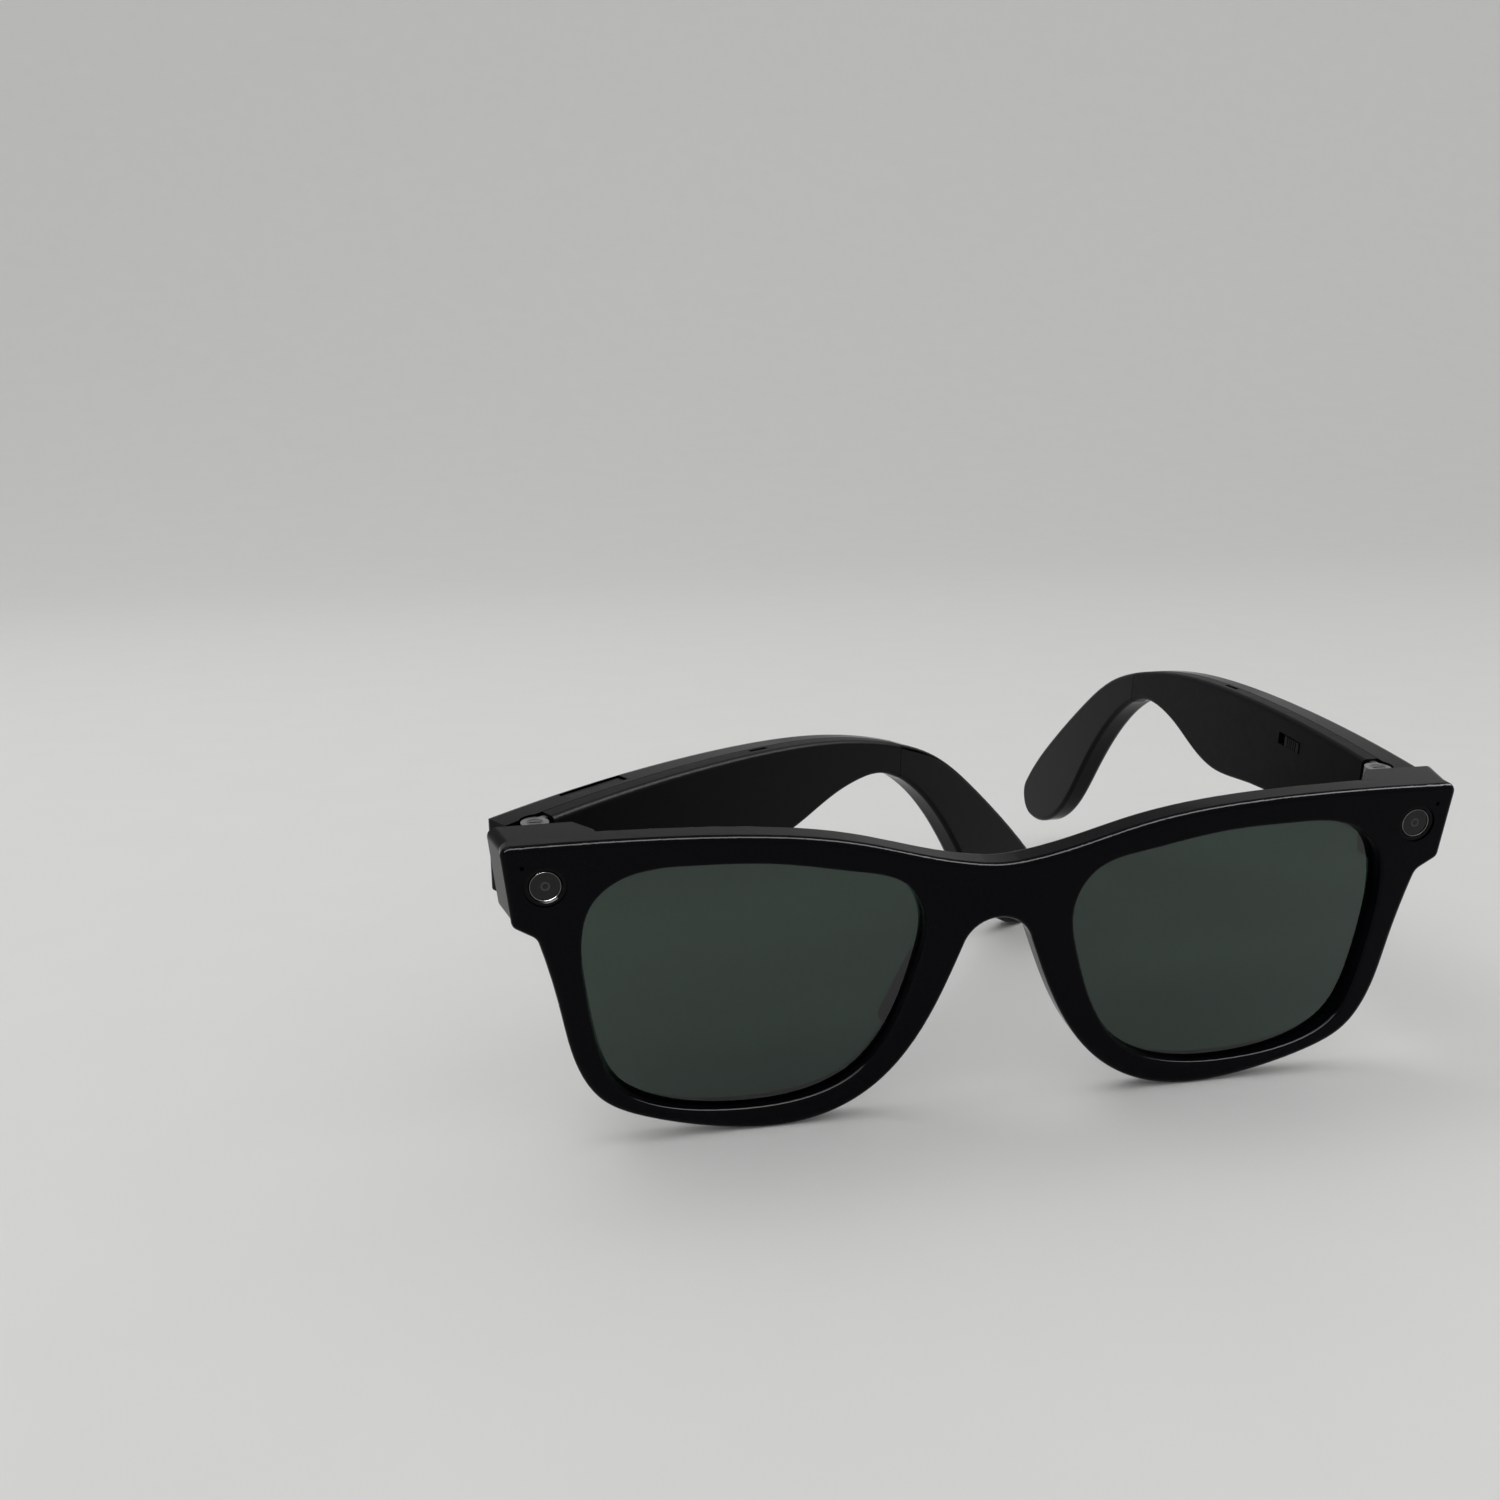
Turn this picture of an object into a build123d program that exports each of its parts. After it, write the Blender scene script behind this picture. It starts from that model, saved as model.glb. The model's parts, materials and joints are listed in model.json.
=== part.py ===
import os
from math import atan2, cos, degrees, radians, sin

from build123d import *

os.makedirs("parts", exist_ok=True)

# Smart glasses, in millimetres. They lie on a table on both rims and on the folded
# temple's tip. "Left" and "right" are the wearer's: left is +X, right is -X.
SIDES = (("left", 1), ("right", -1))

# ---------------------------------------------------------------- driving sizes
# Front
lens_width = 49.0
lens_height = 38.8
bridge_width = 22.8
rim_side = 5.0
rim_nasal = 3.6
rim_bottom = 3.8
rim_top = 4.5
front_half_width = 71.0
rim_depth = 4.3
end_piece_depth = 8.0
end_piece_height = 11.8
end_flare = 1.4
opening_step = 0.3
bridge_top = 16.2
bridge_bottom = 7.7
edge_radius = 0.9
rear_radius = 0.5

# Lenses
lens_radius = 260.0
lens_thickness = 1.6
lens_setback = 0.55
groove_depth = 0.7
lens_clearance = 0.05

# Nose pads
pad_length = 14.0
pad_width = 4.2
pad_reach = 6.4
pad_slant = 25.0
pad_height = -4.0

# Hinges
hinge_x = 65.5
hinge_depth = 12.0
barrel_radius = 2.0
screw_radius = 0.58
pin_clearance = 0.03
barrel_bottom = 13.0
barrel_top = 22.7
front_knuckle = 4.2
knuckle_gap = 0.1
leaf_thickness = 0.9
leaf_n = 0.3
front_leaf_width = 7.6
front_leaf_height = 8.0
temple_leaf_end = 13.5
leaf_h = 17.1
leaf_height = 7.4
arm_half_width = 1.1
leaf_screw_radius = 0.4
leaf_screw_head = 0.75
leaf_screw_length = 2.4
countersink = 0.3
screw_head_radius = 1.15
fold_right = 55.5
fold_left = 1.3

# Temples: s runs back from the hinge axis, h up from the lens centre line and
# n outwards from the hinge axis
inner_n = -1.0
temple_thickness = 7.6
tip_thickness = 4.4
seam_n = 1.8
temple_top = 23.3
pod_length = 47.0
pod_bottom = 5.8
arch_s = 69.5
arch_h = 11.0
bend_s = 78.2
hook_run = 56.2
hook_fall = 50.4
tip_dip = 0.85
wall = 1.2
outer_round = 1.3
inner_round = 0.8
butt_gap = 0.2
seam_gap = 0.12
cover_start = 2.7
cover_end = 81.0
room_start = 4.6
room_end = 76.0

# Camera and capture light
eye_x = 65.0
eye_h = 17.9
eye_radius = 2.9
eye_recess = 1.1
bezel_inner = 2.15
barrel_bore = 1.8
pinhole_x = 68.0
pinhole_h = 20.9
pinhole_radius = 0.3
microphone_radius = 0.75
pocket_width = 4.2
pocket_height = 6.0
pocket_floor = 3.4
board_depth = 5.9
board_thickness = 0.8
fit_gap = 0.05

# Button and switch
button_s = 14.0
button_length = 11.6
button_width = 2.3
button_n = 3.9
button_travel = 0.4
switch_s = 22.0
switch_h = 19.0
switch_length = 4.2
switch_width = 1.9
switch_travel = 2.0

# Flex channel behind the top bar
channel_width = 1.8
channel_depth = 1.4
channel_cover = 0.65

# Charging contacts and the nose microphone
contact_x = 3.3
contact_radius = 0.8
contact_thickness = 0.5
nose_bore_depth = 2.4

# ---------------------------------------------------------------- derived places
lens_x = (bridge_width + lens_width) / 2
half_lens = lens_width / 2
half_height = lens_height / 2
rim_low = half_height + rim_bottom
top_h = half_height + rim_top
end_bottom = top_h - end_piece_height
butt_s = end_piece_depth + butt_gap - hinge_depth
notch_radius = barrel_radius + 0.3
tip_s = bend_s + hook_run
tip_h = 16.0 - hook_fall

# The front leans forward until its rims and the folded temple's tip touch the table
tip_depth = hinge_depth + (tip_s - 7.0) * cos(radians(fold_right))
lean = degrees(atan2(tip_dip - tip_h - rim_low, tip_depth))
lift = rim_low * cos(radians(lean)) - 0.12
front_y = -top_h * sin(radians(lean))
back_y = (hinge_depth + tip_s) * cos(radians(lean)) - (tip_h + 9.0) * sin(radians(lean))
centre_y = (front_y + back_y) / 2

ramp_x = lens_x + half_lens - 3.0
end_inner_x = eye_x - 4.4
block_depth = rim_depth - edge_radius - 0.8
pad_x = bridge_width / 2 + 0.4
pad_steps = (
    (rim_depth - 0.9, pad_length, pad_width, 0.0),
    (rim_depth + 0.9, pad_length, pad_width - 0.6, 0.6),
    (pad_reach - 0.5, pad_length - 1.2, pad_width - 1.6, 1.2),
    (pad_reach, pad_length - 3.4, pad_width - 3.0, 1.5),
)
contact_h = bridge_bottom + 1.7
channel_end_x = eye_x - barrel_bore - 0.2
front_screws = ((eye_x - 3.0, eye_h + 3.15), (eye_x + 3.0, eye_h - 3.15))
temple_screw_s = (7.0, 11.0)
screw_h = (barrel_bottom + barrel_top) / 2
knuckle_low = screw_h - front_knuckle / 2
knuckle_high = screw_h + front_knuckle / 2
temple_knuckles = (
    (barrel_bottom, knuckle_low - knuckle_gap),
    (knuckle_high + knuckle_gap, barrel_top),
)
button_slot = (button_s - button_length / 2, button_s + button_length / 2)
switch_slot = switch_length + switch_travel
switch_middle = switch_s + switch_travel / 2
speaker_slot = (43.8, 51.4)
vent_slot = (44.0, 48.0)
room_n = inner_n + wall
board_n = room_n + 1.4
roof_h = temple_top - 3.3
key_h = temple_top - 2.75
mesh_h = pod_bottom + wall + 0.6


def turned(x, y, z):
    """A direction of the glasses' own frame, in the frame of the table."""
    return Vector(x, y, z).rotate(Axis.X, lean)


def placed(x, y, z):
    """A point of the glasses' own frame, in the frame of the table."""
    return turned(x, y, z) + Vector(0, -centre_y, lift)


# FRONT shows the front as seen from ahead, with its depth running against its normal.
# PLAN is the same frame from above.
FRONT = Plane(placed(0, 0, 0), x_dir=turned(1, 0, 0), z_dir=turned(0, -1, 0))
PLAN = Plane(placed(0, 0, 0), x_dir=turned(1, 0, 0), z_dir=turned(0, 0, 1))


def temple_planes(side, fold):
    """The side view and the plan of a temple folded by that many degrees."""
    angle = radians(fold)
    along = turned(-side * sin(angle), cos(angle), 0)
    out = turned(side * cos(angle), sin(angle), 0)
    hinge = placed(side * hinge_x, hinge_depth, 0)
    profile = Plane(hinge, x_dir=along, z_dir=out * side)
    above = Plane(hinge, x_dir=along, z_dir=turned(0, 0, 1))
    return profile, above


TEMPLE = {1: temple_planes(1, fold_left), -1: temple_planes(-1, fold_right)}


# ---------------------------------------------------------------- shared outlines
def front_section():
    """The front's outline with no lens openings."""
    rise = top_h - bridge_top
    top = [(0.145, 0.23), (0.29, 0.60), (0.58, 0.95), (0.87, 1.01)]
    top_points = [(front_half_width * u, bridge_top + rise * v) for u, v in top]
    low = [
        (1.003, 0.30),
        (0.94, -0.05),
        (0.865, -0.46),
        (0.755, -0.69),
        (0.534, -0.845),
        (0.18, -0.965),
        (-0.14, -0.998),
        (-0.413, -0.935),
        (-0.66, -0.757),
        (-0.85, -0.482),
        (-0.99, -0.15),
        (-1.09, 0.16),
    ]
    low_points = [
        (lens_x + (half_lens + (rim_side if u > 0 else rim_nasal)) * u, rim_low * v)
        for u, v in low
    ]
    notch = (lens_x + half_lens + rim_side + 1.0, end_bottom - 2.0)
    top_corner = (front_half_width, top_h)
    end_corner = (front_half_width - 1.3, end_bottom)
    with BuildSketch() as section:
        with BuildLine():
            Spline((0, bridge_top), *top_points, top_corner)
            Polyline(top_corner, end_corner, notch)
            Spline(notch, *low_points)
            arch = low_points[-1]
            ThreePointArc(arch, (0, bridge_bottom), (-arch[0], arch[1]))
            mirror(about=Plane.YZ)
        make_face()
        for side in (1, -1):
            for spot, radius in ((top_corner, 1.3), (end_corner, 1.3), (notch, 2.0), (arch, 2.0)):
                corner = section.vertices().sort_by_distance((side * spot[0], spot[1], 0))[0]
                fillet(corner, radius)
        fillet(section.vertices().sort_by_distance((0, bridge_top, 0))[0], 20.0)
    return section.sketch


def lens_section(side, grow=0.0):
    """One lens opening's outline, grown by a margin."""
    shape = [
        (0.995, 0.18),
        (1.0, 0.47),
        (0.93, 0.77),
        (0.74, 0.95),
        (0.38, 1.0),
        (-0.12, 0.965),
        (-0.58, 0.86),
        (-0.88, 0.73),
        (-1.0, 0.46),
        (-0.96, 0.05),
        (-0.82, -0.44),
        (-0.58, -0.82),
        (-0.22, -0.985),
        (0.16, -1.0),
        (0.52, -0.93),
        (0.80, -0.74),
        (0.94, -0.30),
    ]
    points = [(lens_x + half_lens * u, half_height * v) for u, v in shape]
    if grow:
        base = Edge.make_spline([Vector(*point) for point in points], periodic=True)
        points = []
        for share in range(24):
            spot, along = base @ (share / 24), base % (share / 24)
            points.append((spot.X + along.Y * grow, spot.Y - along.X * grow))
    with BuildSketch() as section:
        with BuildLine():
            Spline(*[(side * x, h) for x, h in points], periodic=True)
        make_face()
    return section.sketch


def lens_blank(side, grow, gap):
    """A lens, or with a gap the room that it takes in the rim."""
    centre = placed(side * lens_x, lens_setback + lens_radius, 0)
    with BuildPart() as blank:
        with BuildSketch(FRONT.offset(2)):
            add(lens_section(side, grow))
        extrude(amount=-10)
        with Locations(centre):
            Sphere(lens_radius + gap, mode=Mode.INTERSECT)
            Sphere(lens_radius - lens_thickness - gap, mode=Mode.SUBTRACT)
    return blank.part


def temple_section(inset=0.0, start=None, end=None):
    """A temple's side view, inset and cut to a stretch of s."""
    hook = [(0.0, 15.9), (0.24, 10.1), (0.46, 0.9), (0.73, -12.8), (0.93, -25.0)]
    heel = (tip_s + 1.2, tip_h + 1.2)
    top_points = [(butt_s, temple_top - 0.6), (12.0, temple_top), (32.0, temple_top - 0.3)]
    top_points += [(pod_length, temple_top - 1.3), (62.0, 20.0)]
    top_points += [(bend_s + hook_run * u, h) for u, h in hook]
    low_points = [(tip_s - 15.0, tip_h + 1.2), (tip_s - 23.5, tip_h + 7.6)]
    low_points += [(tip_s - 32.0, tip_h + 19.6), (tip_s - 42.0, tip_h + 33.2)]
    low_points += [(tip_s - 51.0, tip_h + 41.4), (tip_s - 59.0, tip_h + 45.2)]
    low_points += [(arch_s, arch_h), (arch_s - 7.0, arch_h - 1.3)]
    low_points += [(pod_length + 7.0, pod_bottom + 1.1), (pod_length + 0.5, pod_bottom)]
    low_points += [(pod_length - 7.0, pod_bottom + 0.7), (pod_length - 13.0, pod_bottom + 1.7)]
    front_low = (butt_s, end_bottom - 0.3)
    with BuildSketch() as section:
        with BuildLine():
            Spline(*top_points, heel)
            Spline(heel, *low_points)
            Polyline(low_points[-1], front_low, top_points[0])
        make_face()
        fillet(section.vertices().sort_by_distance((*heel, 0))[0], 5.0)
    if not inset:
        return section.sketch
    with BuildSketch() as inner:
        add(section.sketch.moved(Location((0, -inset))))
        add(section.sketch.moved(Location((0, inset))), mode=Mode.INTERSECT)
        with Locations(((start + end) / 2, 0)):
            Rectangle(end - start, 120, mode=Mode.INTERSECT)
    return inner.sketch


def skin_n(s):
    """How far out the inner face of a temple's outer wall lies at s."""
    taper = (temple_thickness - tip_thickness) / (tip_s - butt_s)
    return inner_n + temple_thickness - wall - taper * (s - butt_s)


def outer_plane(side, margin=0.0):
    """A temple's outer face, which tapers towards its tip, or a plane that far inside it."""
    profile = TEMPLE[side][0]
    near = Vector(butt_s, 0, side * (inner_n + temple_thickness - margin))
    far = Vector(tip_s, 0, side * (inner_n + tip_thickness - margin))
    start = profile.from_local_coords(near)
    along = (profile.from_local_coords(far) - start).normalized()
    return Plane(start, x_dir=along, z_dir=along.cross(profile.y_dir) * side)


def temple_body(side):
    """A whole temple before it is divided into shell and cover."""
    profile = TEMPLE[side][0]
    with BuildPart() as body:
        with BuildSketch(profile.offset(side * inner_n)):
            add(temple_section())
        extrude(amount=side * (temple_thickness + 2))
        split(bisect_by=outer_plane(side), keep=Keep.BOTTOM)
        outside = outer_plane(side)
        edges = body.edges()
        outer = edges.filter_by(
            lambda e: all(abs(outside.to_local_coords(e @ k).Z) < 0.01 for k in (0, 0.5, 1))
        )
        fillet(outer, outer_round)
        inner = body.edges().filter_by(
            lambda e: all(
                abs(profile.to_local_coords(e @ k).Z * side - inner_n) < 0.01
                for k in (0, 0.5, 1)
            )
        )
        fillet(inner, inner_round)
    return body.part


def temple_room(side):
    """The room inside a temple, between the cover's skin and the outer wall."""
    profile = TEMPLE[side][0]
    with BuildPart() as room:
        with BuildSketch(profile.offset(side * (inner_n + wall))):
            add(temple_section(wall, room_start, room_end))
        extrude(amount=side * temple_thickness)
        split(bisect_by=outer_plane(side, wall), keep=Keep.BOTTOM)
    return room.part


def temple_box(side, s_range, h_range, n_range):
    """A plain block of a temple's own frame."""
    profile = TEMPLE[side][0]
    with BuildPart() as block:
        with BuildSketch(profile.offset(side * n_range[0])):
            with Locations((sum(s_range) / 2, sum(h_range) / 2)):
                Rectangle(s_range[1] - s_range[0], h_range[1] - h_range[0])
        extrude(amount=side * (n_range[1] - n_range[0]))
    return block.part


def channel_section(width, end_x):
    """The flex channel's outline behind the top bar, between -end_x and end_x."""
    route = [
        (0, (bridge_top + bridge_bottom) / 2 + 0.5),
        (lens_x - 0.97 * half_lens, 0.85 * half_height),
        (lens_x - 0.62 * half_lens, 0.865 * half_height + rim_top / 2),
        (lens_x - 0.12 * half_lens, 0.965 * half_height + rim_top / 2 + 0.2),
        (lens_x + 0.38 * half_lens, half_height + rim_top / 2 + 0.2),
        (lens_x + 0.74 * half_lens, 0.97 * half_height + rim_top / 2 + 0.3),
        (eye_x + 0.5, eye_h + 1.3),
    ]
    mirrored = [(-x, h) for x, h in reversed(route[1:])]
    with BuildSketch() as section:
        with BuildLine():
            Spline(*mirrored, *route)
        trace(line_width=width)
        Rectangle(2 * end_x, 80, mode=Mode.INTERSECT)
    return section.sketch


def leaf_holes(plane, spots, way):
    """Holes with countersinks for a leaf's screws, as one cutting tool."""
    with BuildPart() as holes:
        with BuildSketch(plane):
            with Locations(*spots):
                Circle(leaf_screw_head + 0.02)
        extrude(amount=way * countersink)
        with BuildSketch(plane):
            with Locations(*spots):
                Circle(leaf_screw_radius)
        extrude(amount=way * leaf_screw_length)
    return holes.part


# ---------------------------------------------------------------- front frame
outline = front_section()


def at_depth(edge, depth):
    """Whether an edge of the front lies in the plane at that depth."""
    return all(abs(FRONT.to_local_coords(edge @ share).Z + depth) < 0.01 for share in (0, 0.5, 1))


def end_block(side):
    """An end piece's block, which stands further back to meet the temple."""
    with BuildPart() as block:
        with BuildSketch(FRONT.offset(-block_depth)):
            add(outline)
            with Locations((side * (ramp_x + 10), end_bottom + 10 - 1.2)):
                Rectangle(20, 20, mode=Mode.INTERSECT)
        run = Vector(side * end_flare, end_piece_depth - block_depth)
        extrude(amount=run.length, dir=turned(run.X, run.Y, 0) / run.length)
        with BuildSketch(PLAN.offset(-5)):
            with BuildLine():
                Polyline(
                    (side * ramp_x, block_depth),
                    (side * (front_half_width + 3), block_depth),
                    (side * (front_half_width + 3), end_piece_depth),
                    (side * end_inner_x, end_piece_depth),
                    (side * ramp_x, rim_depth - 0.2),
                    close=True,
                )
            make_face()
        extrude(amount=40, mode=Mode.INTERSECT)
        with BuildSketch(FRONT.offset(1)):
            add(lens_section(side, opening_step))
        extrude(amount=-20, mode=Mode.SUBTRACT)
    return block.part


def nose_pad(side):
    """A moulded nose pad, which narrows as it stands back from the rim."""
    with BuildPart() as pad:
        for depth, length, width, shift in pad_steps:
            with BuildSketch(FRONT.offset(-depth)):
                with Locations((side * (pad_x + shift), pad_height)):
                    SlotOverall(length, width, rotation=90 + side * pad_slant)
        loft()
    return pad.part


with BuildPart() as front_frame:
    with BuildSketch(FRONT):
        add(outline)
    extrude(amount=-rim_depth)
    fillet(front_frame.edges().filter_by(lambda e: at_depth(e, 0)), edge_radius)
    fillet(front_frame.edges().filter_by(lambda e: at_depth(e, rim_depth)), rear_radius)
    # Lens openings and the grooves that hold the lenses
    for side in (1, -1):
        with BuildSketch(FRONT.offset(5)):
            add(lens_section(side))
        extrude(amount=-25, mode=Mode.SUBTRACT)
    rims = front_frame.edges().filter_by(lambda e: at_depth(e, 0) and e.length > 90)
    fillet(rims, edge_radius / 2)
    for side in (1, -1):
        add(end_block(side))
    for side in (1, -1):
        add(lens_blank(side, groove_depth + lens_clearance, lens_clearance), mode=Mode.SUBTRACT)
    for side in (1, -1):
        add(nose_pad(side))
    # Recesses, bores and pockets of the camera and the capture light
    for side in (1, -1):
        with BuildSketch(FRONT.offset(1)):
            with Locations((side * eye_x, eye_h)):
                Circle(eye_radius)
        extrude(amount=-(1 + eye_recess), mode=Mode.SUBTRACT)
        with BuildSketch(FRONT):
            with Locations((side * eye_x, eye_h)):
                Circle(barrel_bore + fit_gap)
            with Locations((side * pinhole_x, pinhole_h)):
                Circle(pinhole_radius)
        extrude(amount=-(pocket_floor + 0.1), mode=Mode.SUBTRACT)
        with BuildSketch(FRONT.offset(-pocket_floor)):
            with Locations((side * eye_x, eye_h)):
                Rectangle(pocket_width, pocket_height)
            with Locations((side * pinhole_x, pinhole_h)):
                Circle(microphone_radius + fit_gap)
        extrude(amount=-end_piece_depth, mode=Mode.SUBTRACT)
        with BuildSketch(FRONT.offset(-end_piece_depth)):
            with Locations((side * eye_x, eye_h)):
                Rectangle(front_leaf_width, front_leaf_height)
        extrude(amount=leaf_thickness + fit_gap, mode=Mode.SUBTRACT)
        with BuildSketch(FRONT.offset(-end_piece_depth)):
            with Locations(*[(side * x, h) for x, h in front_screws]):
                Circle(leaf_screw_radius)
        extrude(amount=leaf_screw_length + fit_gap, mode=Mode.SUBTRACT)
    # Channel for the flex, and the seats at the bridge
    with BuildSketch(FRONT.offset(-rim_depth)):
        add(channel_section(channel_width, channel_end_x))
    extrude(amount=channel_depth, mode=Mode.SUBTRACT)
    with BuildSketch(FRONT.offset(-rim_depth)):
        with Locations(*[(side * contact_x, contact_h) for side in (1, -1)]):
            Circle(contact_radius + fit_gap)
    extrude(amount=contact_thickness, mode=Mode.SUBTRACT)
    with BuildSketch(FRONT.offset(-rim_depth)):
        with Locations((0, contact_h)):
            Circle(microphone_radius + fit_gap)
    extrude(amount=nose_bore_depth, mode=Mode.SUBTRACT)

front_frame.part.label = "front_frame"
export_step(front_frame.part, "parts/front_frame.step")

# ---------------------------------------------------------------- lenses
for name, side in SIDES:
    with BuildPart() as lens:
        add(lens_blank(side, groove_depth, 0))
    lens.part.label = f"lens_{name}"
    export_step(lens.part, f"parts/lens_{name}.step")

# ---------------------------------------------------------------- camera and capture light
for name, side in (("camera", 1), ("light", -1)):
    spot = (side * eye_x, eye_h)
    with BuildPart() as bezel:
        with BuildSketch(FRONT.offset(-0.25)):
            with Locations(spot):
                Circle(eye_radius - fit_gap)
                Circle(bezel_inner, mode=Mode.SUBTRACT)
        extrude(amount=-(eye_recess - 0.25))
        rings = bezel.edges().filter_by(lambda e: at_depth(e, 0.25)).sort_by(SortBy.LENGTH)
        chamfer(rings[0], 0.25)
    bezel.part.label = f"{name}_bezel"
    export_step(bezel.part, f"parts/{name}_bezel.step")

    with BuildPart() as window:
        with BuildSketch(FRONT.offset(-0.5)):
            with Locations(spot):
                Circle(bezel_inner - fit_gap)
        extrude(amount=-(eye_recess - 0.5))
    window.part.label = f"{name}_window"
    export_step(window.part, f"parts/{name}_window.step")

    with BuildPart() as board:
        with BuildSketch(FRONT.offset(-board_depth)):
            with Locations(spot):
                Rectangle(pocket_width - 2 * fit_gap, pocket_height - 2 * fit_gap)
        extrude(amount=-board_thickness)
    board.part.label = f"{name}_board"
    export_step(board.part, f"parts/{name}_board.step")

with BuildPart() as camera_barrel:
    with BuildSketch(FRONT.offset(-(eye_recess + 0.05))):
        with Locations((eye_x, eye_h)):
            Circle(barrel_bore)
    extrude(amount=-(board_depth - eye_recess - 0.05))
    with BuildSketch(FRONT.offset(-(eye_recess + 0.05))):
        with Locations((eye_x, eye_h)):
            Circle(1.2)
    extrude(amount=-0.9, taper=28, mode=Mode.SUBTRACT)
camera_barrel.part.label = "camera_barrel"
export_step(camera_barrel.part, "parts/camera_barrel.step")

with BuildPart() as light_guide:
    with BuildSketch(FRONT.offset(-(eye_recess + 0.05))):
        with Locations((-eye_x, eye_h)):
            Circle(barrel_bore)
    extrude(amount=-(board_depth - eye_recess - 0.65))
    with BuildSketch(FRONT.offset(-(board_depth - 0.6))):
        with Locations((-eye_x, eye_h)):
            Rectangle(1.6, 1.6)
    extrude(amount=-0.6)
light_guide.part.label = "light_guide"
export_step(light_guide.part, "parts/light_guide.step")

# ---------------------------------------------------------------- front electronics
with BuildPart() as front_microphones:
    with BuildSketch(FRONT.offset(-(pocket_floor + 0.1))):
        with Locations(*[(side * pinhole_x, pinhole_h) for side in (1, -1)]):
            Circle(microphone_radius)
    extrude(amount=-1.2)
front_microphones.part.label = "front_microphones"
export_step(front_microphones.part, "parts/front_microphones.step")

with BuildPart() as nose_microphone:
    with BuildSketch(FRONT.offset(-(rim_depth - nose_bore_depth))):
        with Locations((0, contact_h)):
            Circle(microphone_radius)
    extrude(amount=-1.1)
nose_microphone.part.label = "nose_microphone"
export_step(nose_microphone.part, "parts/nose_microphone.step")

with BuildPart() as nose_mesh:
    with BuildSketch(FRONT.offset(-(rim_depth - 0.35))):
        with Locations((0, contact_h)):
            Circle(microphone_radius)
    extrude(amount=-0.3)
nose_mesh.part.label = "nose_mesh"
export_step(nose_mesh.part, "parts/nose_mesh.step")

with BuildPart() as charging_contacts:
    with BuildSketch(FRONT.offset(-rim_depth)):
        with Locations(*[(side * contact_x, contact_h) for side in (1, -1)]):
            Circle(contact_radius)
    extrude(amount=contact_thickness)
charging_contacts.part.label = "charging_contacts"
export_step(charging_contacts.part, "parts/charging_contacts.step")

with BuildPart() as front_flex:
    with BuildSketch(FRONT.offset(-(rim_depth - channel_depth))):
        add(channel_section(channel_width - 0.4, channel_end_x - 0.6))
    extrude(amount=-0.2)
front_flex.part.label = "front_flex"
export_step(front_flex.part, "parts/front_flex.step")

with BuildPart() as channel_strip:
    with BuildSketch(FRONT.offset(-rim_depth)):
        add(channel_section(channel_width - 2 * fit_gap, ramp_x - 0.6))
    extrude(amount=channel_cover)
channel_strip.part.label = "channel_strip"
export_step(channel_strip.part, "parts/channel_strip.step")

# ---------------------------------------------------------------- hinges
def leaf_screws(plane, spots, way):
    """Countersunk screws whose heads lie in that plane, as separate solids."""
    with BuildPart() as screws:
        with BuildSketch(plane):
            with Locations(*spots):
                Circle(leaf_screw_head)
        extrude(amount=way * countersink)
        with BuildSketch(plane):
            with Locations(*spots):
                Circle(leaf_screw_radius - 0.02)
        extrude(amount=way * leaf_screw_length)
        with BuildSketch(plane):
            with Locations(*spots):
                Rectangle(1.0, 0.2)
        extrude(amount=way * 0.15, mode=Mode.SUBTRACT)
    return screws.part


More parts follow.
